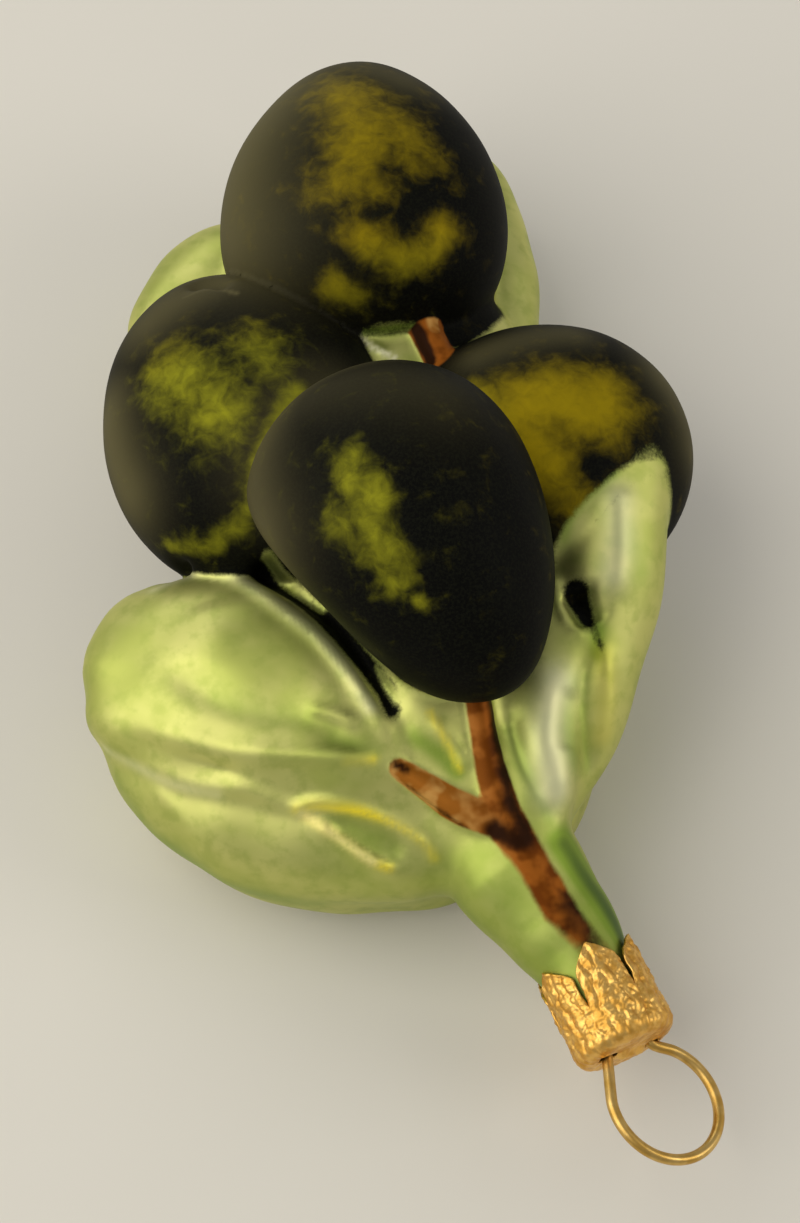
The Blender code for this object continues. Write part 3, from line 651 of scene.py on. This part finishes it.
def lacquer_and_light_maps(points):
    """Where each lacquer lies, and where shade, sheen and highlights are painted: signed millimetres into
    black and brown, the rest 0 to 1.
    """
    olive, green, wood = layers(points)
    fruit = np.clip(green - olive, -4.0, 4.0)
    # black lacquer runs, and the black painted shade in the gap between the top olives
    for stroke in BLACK_RUNS_AND_SHADE:
        fruit = np.maximum(fruit, stroke_depth(points, stroke))
    for stroke in GREEN_RUNS:
        fruit = np.minimum(fruit, -stroke_depth(points, stroke))
    stem = np.clip(np.minimum(olive, green) - wood + 0.2, -3.0, 3.0)
    # Painted shade: the green darkens down the neck and in the grooves of the folds.
    neck = np.clip((NECK_SHADE_START - points[:, 1]) / NECK_SHADE_LENGTH, 0.0, 1.0)
    hollow = np.clip(-0.5 * fold_height(points), 0.0, 0.4)
    x, y, _ = points.T
    return {
        "fruit": fruit,
        "stem": stem,
        "bare": spots(points, PATCHES),
        # knots, with painted shade on the stem
        "knot": spots(points, KNOTS_AND_SHADE),
        "painted_shade": np.clip(np.maximum(0.55 * neck + hollow, spots(points, PAINTED_SHADE)), 0.0, 1.6),
        "warm": np.clip(np.maximum((x + 2.0) / 18.0, (y - 26.0) / 10.0) - spots(points, PALE), 0.0, 1.0),
        # painted sheen on the olives
        "thin": spots(points, PAINTED_SHEEN),
        # painted highlights, cream and golden
        "cream_highlight": spots(points, CREAM_HIGHLIGHTS),
        "gold": spots(points, GOLDEN_HIGHLIGHTS),
    }


def add_maps(mesh, maps):
    """Keep each map on the mesh as a point attribute."""
    for name, values in maps.items():
        layer = mesh.attributes.new(name, "FLOAT", "POINT")
        layer.data.foreach_set("value", np.asarray(values, np.float32))


# --- materials ---------------------------------------------------------------------------


def colour(code):
    """A screen colour such as "9da05a" as linear light, with alpha."""
    screen = [int(code[i:i + 2], 16) / 255.0 for i in (0, 2, 4)]
    linear = [v / 12.92 if v <= 0.04045 else ((v + 0.055) / 1.055) ** 2.4 for v in screen]
    return (*linear, 1.0)


def add(tree, kind, output, settings=None, **inputs):
    """One output of a new node, with the node's settings, values and links. i0 is its first socket."""
    node = tree.nodes.new(kind)
    for name, value in (settings or {}).items():
        setattr(node, name, value)
    for name, value in inputs.items():
        key = int(name[1:]) if name[0] == "i" and name[1:].isdigit() else name.replace("_", " ")
        socket = node.inputs[key]
        if isinstance(value, bpy.types.NodeSocket):
            tree.links.new(value, socket)
        else:
            socket.default_value = value
    return node.outputs[output]


def new_material(name):
    """A new node material, its tree and its shader."""
    made = bpy.data.materials.new(name)
    made.use_nodes = True
    return made, made.node_tree, made.node_tree.nodes["Principled BSDF"]


# Kinds of node and their settings. A mixed colour is output 2, and its inputs are 0, 6 and 7.
PLACE = "ShaderNodeTexCoord"
MAP = "ShaderNodeAttribute"
NOISE = "ShaderNodeTexNoise"
MATH = "ShaderNodeMath"
MIX = "ShaderNodeMix"
RANGE = "ShaderNodeMapRange"
SMOOTH = {"interpolation_type": "SMOOTHSTEP"}
COLOURS = {"data_type": "RGBA"}
VALUES = {"data_type": "FLOAT"}
SCALED_SUM = {"operation": "MULTIPLY_ADD"}
PRODUCT = {"operation": "MULTIPLY"}
LARGER = {"operation": "MAXIMUM"}

# Unevenness of the lacquers: its size in millimetres, detail, roughness and distortion. The
# spray's real specks are finer than 0.3 mm, and are drawn at that size so that they show.
LACQUER_NOISE = {
    "cloud": (9.0, 3.0, 0.55, 0.0),
    "drift": (3.0, 4.0, 0.55, 0.0),
    "spray": (0.3, 2.0, 0.7, 0.0),
    "wisp": (1.8, 4.0, 0.6, 0.6),
    "grain": (2.6, 2.0, 0.5, 0.0),
    "mist": (2.0, 3.0, 0.5, 0.0),
}
LACQUER_AND_LIGHT_MAPS = ("fruit", "stem", "bare", "knot", "painted_shade", "warm", "thin", "cream_highlight", "gold")


def lacquered_glass():
    """Blown glass, silvered inside and lacquered outside.

    The green lacquer is sheer, so the silver behind it gives the leaves a satin metal shine,
    with pale painted highlights on their folds and painted shade in their hollows. The olives'
    black is thick and nearly matt, with a painted sheen on its flanks, and glows green or amber
    where it was wiped back to the silver. The stem's brown is thick and dull, with dark knots and painted
    shade.
    """
    made, tree, shader = new_material("lacquered_glass")
    place = add(tree, PLACE, "Object")
    maps = {name: add(tree, MAP, "Fac", {"attribute_name": name}) for name in LACQUER_AND_LIGHT_MAPS}
    noise = {}
    for name, (size_mm, detail, roughness, distortion) in LACQUER_NOISE.items():
        noise[name] = add(
            tree, NOISE, "Fac", Vector=place, Scale=1000.0 / size_mm, Detail=detail,
            Roughness=roughness, Distortion=distortion,
        )
    # painted shade in the green, made uneven by the clouds
    painted_shade = add(tree, MATH, 0, SCALED_SUM, i0=noise["cloud"], i1=0.3, i2=maps["painted_shade"])
    # knots, and painted shade on the stem
    knot = add(tree, MATH, 0, SCALED_SUM, i0=noise["grain"], i1=0.9, i2=maps["knot"])
    bare = add(tree, MATH, 0, SCALED_SUM, i0=noise["drift"], i1=0.9, i2=maps["bare"])
    bare = add(tree, MATH, 0, SCALED_SUM, i0=noise["wisp"], i1=0.9, i2=bare)
    bare = add(tree, RANGE, 0, SMOOTH, Value=bare, i1=0.95, i2=2.5, i3=0.0, i4=0.9)
    fruit = add(tree, MATH, 0, SCALED_SUM, i0=noise["spray"], i1=0.5, i2=maps["fruit"])
    fruit = add(tree, MATH, 0, SCALED_SUM, i0=noise["wisp"], i1=0.5, i2=fruit)
    fruit = add(tree, RANGE, 0, SMOOTH, Value=fruit, i1=0.1, i2=0.9)
    stem = add(tree, MATH, 0, SCALED_SUM, i0=noise["wisp"], i1=0.3, i2=maps["stem"])
    stem = add(tree, RANGE, 0, SMOOTH, Value=stem, i1=0.0, i2=0.45)

    clouds = add(tree, RANGE, 0, SMOOTH, Value=noise["cloud"], i1=0.35, i2=0.65)
    mottle = add(tree, RANGE, 0, SMOOTH, Value=noise["mist"], i1=0.45, i2=0.7)
    mottle = add(tree, MATH, 0, PRODUCT, i0=mottle, i1=0.5)
    # Two steps of painted shade in the green.
    shaded = add(tree, RANGE, 0, SMOOTH, Value=painted_shade, i1=0.15, i2=1.1)
    darkest_shade = add(tree, RANGE, 0, SMOOTH, Value=painted_shade, i1=1.1, i2=1.8)
    green = add(tree, MIX, 2, COLOURS, i0=clouds, i6=colour("cbcb78"), i7=colour("b3ba60"))
    # Over the clouded green go a random mottle, the two steps of painted shade, and the golden and cream
    # painted highlights.
    for amount, code in (
        (mottle, "a3ae55"), (shaded, "87a03c"), (darkest_shade, "4d6632"),
        (maps["gold"], "fbe63a"), (maps["cream_highlight"], "f4efc8"),
    ):
        green = add(tree, MIX, 2, COLOURS, i0=amount, i6=green, i7=colour(code))

    specks = add(tree, RANGE, 0, SMOOTH, Value=noise["spray"], i1=0.4, i2=0.65)
    black = add(tree, MIX, 2, COLOURS, i0=specks, i6=colour("060604"), i7=colour("101109"))
    # painted sheen on the black
    black = add(tree, MIX, 2, COLOURS, i0=maps["thin"], i6=black, i7=colour("5a5436"))
    glow = add(tree, MIX, 2, COLOURS, i0=maps["warm"], i6=colour("b0ae26"), i7=colour("a89212"))

    streaks = add(tree, RANGE, 0, SMOOTH, Value=noise["grain"], i1=0.4, i2=0.62)
    pale_streaks = add(tree, RANGE, 0, SMOOTH, Value=noise["grain"], i1=0.38, i2=0.6)
    browner = add(tree, RANGE, 0, SMOOTH, Value=maps["warm"], i1=0.05, i2=0.4)
    knots = add(tree, RANGE, 0, SMOOTH, Value=knot, i1=0.7, i2=1.45)
    wood = add(tree, MIX, 2, COLOURS, i0=streaks, i6=colour("9a5719"), i7=colour("6b3608"))
    twig = add(tree, MIX, 2, COLOURS, i0=pale_streaks, i6=colour("c8964f"), i7=colour("a0621f"))
    wood = add(tree, MIX, 2, COLOURS, i0=browner, i6=twig, i7=wood)
    # dark brown for the knots and for the painted shade on the stem
    wood = add(tree, MIX, 2, COLOURS, i0=knots, i6=wood, i7=colour("2b1507"))

    coat = add(tree, MIX, 2, COLOURS, i0=bare, i6=black, i7=glow)
    skin = add(tree, MIX, 2, COLOURS, i0=fruit, i6=green, i7=coat)
    skin = add(tree, MIX, 2, COLOURS, i0=stem, i6=skin, i7=wood)
    # The painted highlights are less metallic than the rest of the leaves.
    crest = add(tree, MATH, 0, LARGER, i0=maps["gold"], i1=maps["cream_highlight"])
    leaf_metal = add(tree, MIX, 0, VALUES, i0=crest, i2=0.88, i3=0.4)
    fruit_metal = add(tree, MATH, 0, PRODUCT, i0=bare, i1=0.8)
    metal = add(tree, MIX, 0, VALUES, i0=fruit, i2=leaf_metal, i3=fruit_metal)
    metal = add(tree, MIX, 0, VALUES, i0=stem, i2=metal, i3=0.3)
    rough = add(tree, MIX, 0, VALUES, i0=fruit, i2=0.48, i3=0.6)
    tree.links.new(skin, shader.inputs["Base Color"])
    tree.links.new(metal, shader.inputs["Metallic"])
    tree.links.new(rough, shader.inputs["Roughness"])
    shader.inputs["Specular IOR Level"].default_value = 0.05
    return made


# The gold finishes: lump size in millimetres, light and dark tone, and smooth and rough end.
GOLD_FINISHES = {
    "gold_wire": (2.5, "dcb86e", "c39a4a", 0.3, 0.4),
    "gold_cap": (1.2, "efc068", "d6a147", 0.36, 0.48),
}


def gold_finish(name):
    """Gold-coloured plating: brighter and smoother on the drawn wire, duller on the stamped sheet."""
    size_mm, light, dark, smooth, rough = GOLD_FINISHES[name]
    made, tree, shader = new_material(name)
    place = add(tree, PLACE, "Object")
    drift = add(tree, NOISE, "Fac", Vector=place, Scale=1000.0 / size_mm, Detail=3.0, Roughness=0.55)
    tone = add(tree, RANGE, 0, SMOOTH, Value=drift, i1=0.35, i2=0.65)
    tint = add(tree, MIX, 2, COLOURS, i0=tone, i6=colour(light), i7=colour(dark))
    haze = add(tree, RANGE, 0, SMOOTH, Value=drift, i1=0.3, i2=0.7, i3=smooth, i4=rough)
    tree.links.new(tint, shader.inputs["Base Color"])
    tree.links.new(haze, shader.inputs["Roughness"])
    shader.inputs["Metallic"].default_value = 1.0
    return made


# --- pieces ------------------------------------------------------------------------------


def new_piece(name, mesh, finish, node):
    """A piece that stands for one node of the frame."""
    piece = bpy.data.objects.new(name, mesh)
    bpy.context.scene.collection.objects.link(piece)
    mesh.materials.append(finish)
    mesh.shade_smooth()
    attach(piece, "root")
    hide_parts(node)
    return piece


def hanger_route():
    """The wire's centre line, as (across, out) points from one leg's end to the other's."""
    left_leg = [(-2.0, -14.8), (-2.25, -11.8), (-2.36, -6.5), (-2.36, -3.0), (-2.75, -1.0), (-2.95, 0.1)]
    right_leg = [(2.8, 0.15), (2.64, -0.6), (2.37, -2.9), (2.36, -6.5), (2.25, -11.8), (2.0, -14.8)]
    loop = []
    for turn in np.radians(np.linspace(LOOP_START, LOOP_END, LOOP_POINTS)):
        loop.append((LOOP_LEAN - LOOP_RADIUS * math.sin(turn), LOOP_RISE - LOOP_RADIUS * math.cos(turn)))
    return left_leg + loop + right_leg


def hanger_points():
    """The wire's centre line in millimetres."""
    right, up, out = neck_axes()
    roll = math.radians(HANGER_ROLL)
    across = right * math.cos(roll) + up * math.sin(roll)
    flat = smooth_route([(a, o, 0.0) for a, o in hanger_route()], 6)
    return np.array(CAP_END) + flat[:, :1] * across + flat[:, 1:2] * out


def shift():
    """Where the tables' zero point lies in the frame.

    Right and up come from the middle of the wire's box, and along from the loop's far side.
    """
    points = hanger_points()
    low = np.array(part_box("hanger_wire")[0]) / MM
    high = np.array(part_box("hanger_wire")[1]) / MM
    middle = (points.min(axis=0) + points.max(axis=0)) / 2.0
    gap = (low + high) / 2.0 - middle
    gap[1] = low[1] + WIRE_RADIUS + WIRE_INSET - points[:, 1].min()
    return gap


def tube(name, route, radius, sides):
    """A round tube along a route, closed at both ends."""
    shape = bmesh.new()
    rings = []
    side = None
    for i, point in enumerate(route):
        ahead = unit(route[min(i + 1, len(route) - 1)] - route[max(i - 1, 0)])
        if side is None:
            side = unit(np.cross(ahead, (0.3, 0.2, 1.0)))
        side = unit(side - np.dot(side, ahead) * ahead)
        other = np.cross(ahead, side)
        ring = []
        for turn in np.linspace(0.0, math.tau, sides, endpoint=False):
            spot = point + radius * (math.cos(turn) * side + math.sin(turn) * other)
            ring.append(shape.verts.new(spot))
        rings.append(ring)
    for ring, after in zip(rings, rings[1:]):
        for i in range(sides):
            j = (i + 1) % sides
            shape.faces.new((ring[i], ring[j], after[j], after[i]))
    shape.faces.new(list(reversed(rings[0])))
    shape.faces.new(rings[-1])
    bmesh.ops.recalc_face_normals(shape, faces=shape.faces)
    mesh = bpy.data.meshes.new(name)
    shape.to_mesh(mesh)
    shape.free()
    return mesh


def stamping(turn, back):
    """Height of the bark-like stamping on the cap's wall."""
    swing = 0.2 * math.sin(0.9 * back + 2.0 * math.sin(5.0 * turn)) + 0.1 * math.sin(2.6 * back + 9.0 * turn)
    ridge = abs(math.sin(math.pi * (RIDGES * turn / math.tau + swing))) ** 0.6 - 0.6
    spot = Vector((CAP_RADIUS * math.sin(turn), CAP_RADIUS * math.cos(turn), 0.6 * back))
    lumps = mathutils.noise.noise(spot * 1.2)
    beads = mathutils.noise.noise(Vector((spot.x, spot.y, 1.6 * spot.z)) * 2.6)
    crinkle = mathutils.noise.noise(spot * 6.0)
    return 0.2 * ridge + 0.16 * lumps + 0.12 * beads + 0.03 * crinkle


def petal_top(petal, where):
    """How far back one petal's edge reaches, from slit to slit."""
    tip = PETAL_TIPS[petal]
    slope = (where + 1.0) / (1.0 + tip) if where < tip else (1.0 - where) / (1.0 - tip)
    ragged = 0.15 * mathutils.noise.noise((where * 3.0, petal * 5.0, 1.0))
    drop = PETAL_ROOFS[petal] * (1.0 - slope ** 0.75)
    return CAP_HEIGHT - max(PETAL_ROOFS) + PETAL_ROOFS[petal] - drop + ragged * (1.0 - where ** 2)


def cap_section(top):
    """Radius, depth, and outward lean of the cap's rows, from the closed end's middle to a petal's edge."""
    flat = CAP_RADIUS - CAP_CORNER
    rows = [(r, 0.0, 0.0) for r in np.linspace(0.25, flat, 22)]
    for lean in np.radians(np.linspace(12.0, 90.0, 8)):
        rows.append((flat + CAP_CORNER * math.sin(lean), CAP_CORNER * (1.0 - math.cos(lean)), lean))
    for part in np.linspace(0.0, 1.0, CAP_ROWS + 1)[1:]:
        rows.append((CAP_RADIUS, CAP_CORNER + (top - CAP_CORNER) * part, math.pi / 2.0))
    return rows


def end_height(across, upward):
    """Dome and pressed strap on the cap's closed end."""
    dome = 0.2 * (1.0 - (across ** 2 + upward ** 2) / CAP_RADIUS ** 2)
    reach = np.clip((STRAP_REACH - abs(across)) / 0.35 + 0.5, 0.0, 1.0)
    strap = STRAP_RISE * reach * math.exp(-(upward / 0.8) ** 2)
    return dome + strap + 0.1 * mathutils.noise.noise((across * 1.6, upward * 1.6, 7.0))


def cap_point(turn, row, sink):
    """One point of the cap's sheet, as (right, up, out), sunk below the outer face."""
    radius, back, lean = row
    roll = math.radians(HANGER_ROLL)
    plain = (radius * math.sin(turn), radius * math.cos(turn))
    across = plain[0] * math.cos(roll) + plain[1] * math.sin(roll)
    upward = plain[1] * math.cos(roll) - plain[0] * math.sin(roll)
    flatness = 1.0 - lean / (math.pi / 2.0)
    height = flatness * end_height(across, upward) + (1.0 - flatness) * stamping(turn, back)
    lift = height - sink
    radius += lift * math.sin(lean)
    return (radius * math.sin(turn), radius * math.cos(turn), lift * math.cos(lean) - back)


def petal_sheet(petal, sink):
    """Rows of points for one petal's share of the cap, and its slit's half width in each row."""
    pitch = math.tau / len(PETAL_TIPS)
    middle = math.radians(CAP_TURN) + petal * pitch
    columns = []
    for where in np.linspace(-1.0, 1.0, CAP_COLUMNS + 1):
        column = []
        for row in cap_section(petal_top(petal, where)):
            half_slit = SLIT_WIDTH / 2.0 * min(max((row[1] - SLIT_START) / 1.5, 0.0), 1.0)
            half_pitch = pitch / 2.0 - half_slit / CAP_RADIUS
            column.append(cap_point(middle + where * half_pitch, row, sink))
        columns.append(column)
    return columns


def petal_faces(shape, outer, inner):
    """Faces of one petal's share: both sides of the sheet, its edge, and the slit's sides."""
    rows = len(outer[0]) - 1
    for c in range(CAP_COLUMNS):
        for r in range(rows):
            shape.faces.new((outer[c][r], outer[c + 1][r], outer[c + 1][r + 1], outer[c][r + 1]))
            shape.faces.new((inner[c][r + 1], inner[c + 1][r + 1], inner[c + 1][r], inner[c][r]))
        shape.faces.new((outer[c][-1], outer[c + 1][-1], inner[c + 1][-1], inner[c][-1]))
    for c in (0, CAP_COLUMNS):
        for r in range(rows):
            if -outer[c][r + 1].co.z > SLIT_START + 0.01:
                shape.faces.new((outer[c][r], outer[c][r + 1], inner[c][r + 1], inner[c][r]))


def cap_shell():
    """The cap's sheet as one closed mesh."""
    shape = bmesh.new()
    for petal in range(len(PETAL_TIPS)):
        grids = []
        for sink in (0.0, CAP_SHEET):
            sheet = petal_sheet(petal, sink)
            grids.append([[shape.verts.new(point) for point in column] for column in sheet])
        petal_faces(shape, *grids)
    bmesh.ops.remove_doubles(shape, verts=shape.verts, dist=0.0005)
    open_edges = [edge for edge in shape.edges if edge.is_boundary]
    bmesh.ops.holes_fill(shape, edges=open_edges, sides=0)
    bmesh.ops.recalc_face_normals(shape, faces=shape.faces)
    return shape


def slot_block(side):
    """The block that opens one of the wire's slots."""
    shape = bmesh.new()
    bmesh.ops.create_cube(shape, size=1.0)
    bmesh.ops.scale(shape, vec=(SLOT_LENGTH, SLOT_WIDTH, SLOT_DEPTH), verts=shape.verts)
    bmesh.ops.bevel(shape, geom=shape.edges, offset=SLOT_CORNER, segments=3, affect="EDGES")
    bmesh.ops.translate(shape, vec=(side * SLOT_SPACING, 0.0, 0.0), verts=shape.verts)
    turn = Matrix.Rotation(math.radians(HANGER_ROLL), 3, "Z")
    bmesh.ops.rotate(shape, matrix=turn, verts=shape.verts)
    return shape


def loose_object(name, shape):
    """A mesh object made from a bmesh, which is freed."""
    mesh = bpy.data.meshes.new(name)
    shape.to_mesh(mesh)
    shape.free()
    made = bpy.data.objects.new(name, mesh)
    bpy.context.scene.collection.objects.link(made)
    return made


def cut_away(body, cutter):
    """Take one object's volume out of another, and drop the cutter."""
    step = body.modifiers.new("cut", "BOOLEAN")
    step.operation = "DIFFERENCE"
    step.solver = "EXACT"
    step.object = cutter
    bpy.context.view_layer.update()
    result = bpy.data.meshes.new_from_object(body.evaluated_get(bpy.context.evaluated_depsgraph_get()))
    body.modifiers.clear()
    body.data = result
    bpy.data.objects.remove(cutter)


def make_cap(zero):
    """The stamped crown cap."""
    right, up, out = neck_axes()
    body = loose_object("cap_blank", cap_shell())
    for side in (-1.0, 1.0):
        cut_away(body, loose_object("slot_block", slot_block(side)))
    mesh = body.data
    bpy.data.objects.remove(body)
    flat = np.empty(len(mesh.vertices) * 3)
    mesh.vertices.foreach_get("co", flat)
    local = flat.reshape(-1, 3)
    placed = np.array(CAP_END) + zero + local @ np.array([right, up, out])
    mesh.vertices.foreach_set("co", (placed * MM).ravel())
    mesh.update()
    return new_piece("crown", mesh, gold_finish("gold_cap"), "crown_cap")


def make_glass(zero):
    """The moulded, silvered and lacquered glass."""
    points, faces = mesh_skin()
    maps = lacquer_and_light_maps(points)
    low, high = (np.array(corner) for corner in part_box("glass_body"))
    placed = np.clip((points + zero) * MM, low, high)
    mesh = bpy.data.meshes.new("glass_skin")
    mesh.from_pydata(placed.tolist(), [], faces.tolist())
    mesh.validate()
    add_maps(mesh, maps)
    return new_piece("glass_skin", mesh, lacquered_glass(), "glass_body")


def make_hanger(zero):
    """The bent wire hanger."""
    route = (hanger_points() + zero) * MM
    mesh = tube("hanger", route, WIRE_RADIUS * MM, WIRE_SIDES)
    return new_piece("hanger", mesh, gold_finish("gold_wire"), "hanger_wire")


# --- the room ----------------------------------------------------------------------------


def floor_finish():
    """Matt warm-grey card, which takes a soft shadow and hardly shines."""
    made, tree, shader = new_material("warm_card")
    place = add(tree, PLACE, "Object")
    drift = add(tree, NOISE, "Fac", Vector=place, Scale=1000.0 / CARD_CLOUD, Detail=3.0, Roughness=0.55)
    tint = add(tree, MIX, 2, COLOURS, i0=drift, i6=colour("dfdbd0"), i7=colour("dad6ca"))
    tree.links.new(tint, shader.inputs["Base Color"])
    shader.inputs["Roughness"].default_value = 0.9
    shader.inputs["Specular IOR Level"].default_value = 0.2
    return made


def make_floor():
    """A wide plain floor."""
    shape = bmesh.new()
    bmesh.ops.create_grid(shape, x_segments=1, y_segments=1, size=1.2)
    mesh = bpy.data.meshes.new("floor")
    shape.to_mesh(mesh)
    shape.free()
    floor = bpy.data.objects.new("floor", mesh)
    bpy.context.scene.collection.objects.link(floor)
    mesh.materials.append(floor_finish())


def add_panel(name, place, aim, size, power, tint):
    """A soft square light panel."""
    lamp = bpy.data.lights.new(name, "AREA")
    lamp.shape = "RECTANGLE"
    lamp.size, lamp.size_y = size
    lamp.energy = power
    lamp.color = colour(tint)[:3]
    panel = bpy.data.objects.new(name, lamp)
    panel.location = place
    panel.rotation_euler = (Vector(aim) - Vector(place)).to_track_quat("-Z", "Y").to_euler()
    bpy.context.scene.collection.objects.link(panel)


def make_lights():
    """Soft studio light, mostly from the upper left."""
    world = bpy.data.worlds.new("room")
    world.use_nodes = True
    background = world.node_tree.nodes["Background"]
    background.inputs["Color"].default_value = colour("fbfbff")
    background.inputs["Strength"].default_value = ROOM_BRIGHTNESS
    bpy.context.scene.world = world
    middle = (0.0, 0.0, AIM_HEIGHT)
    add_panel("left_panel", (-0.5, 0.02, 0.5), middle, (0.7, 0.9), 3.8, "fffbf2")
    add_panel("back_panel", (-0.12, 0.73, 0.5), middle, (0.8, 0.35), 1.4, "ffffff")
    add_panel("right_panel", (0.6, -0.2, 0.4), middle, (0.35, 0.5), 1.2, "fffaf2")


def make_camera(zero):
    """The camera, looking down at the ornament from the cap's side."""
    around = math.radians(VIEW_AROUND)
    down = math.radians(VIEW_DOWN)
    look = Vector((math.cos(down) * math.sin(around), math.cos(down) * math.cos(around), -math.sin(down)))
    aim = Vector(zero) * MM + Vector((0.0, 0.0, AIM_HEIGHT))
    lens = bpy.data.cameras.new("camera")
    lens.sensor_fit = "VERTICAL"
    lens.sensor_height = SENSOR_HEIGHT
    lens.lens = LENS_LENGTH
    lens.clip_start = 0.01
    camera = bpy.data.objects.new("camera", lens)
    camera.location = aim - look * VIEW_DISTANCE
    camera.rotation_euler = look.to_track_quat("-Z", "Y").to_euler()
    bpy.context.scene.collection.objects.link(camera)
    bpy.context.scene.camera = camera


zero = shift()
make_floor()
make_lights()
make_camera(zero)
make_glass(zero)
make_cap(zero)
make_hanger(zero)
bpy.context.scene.view_settings.view_transform = "Standard"
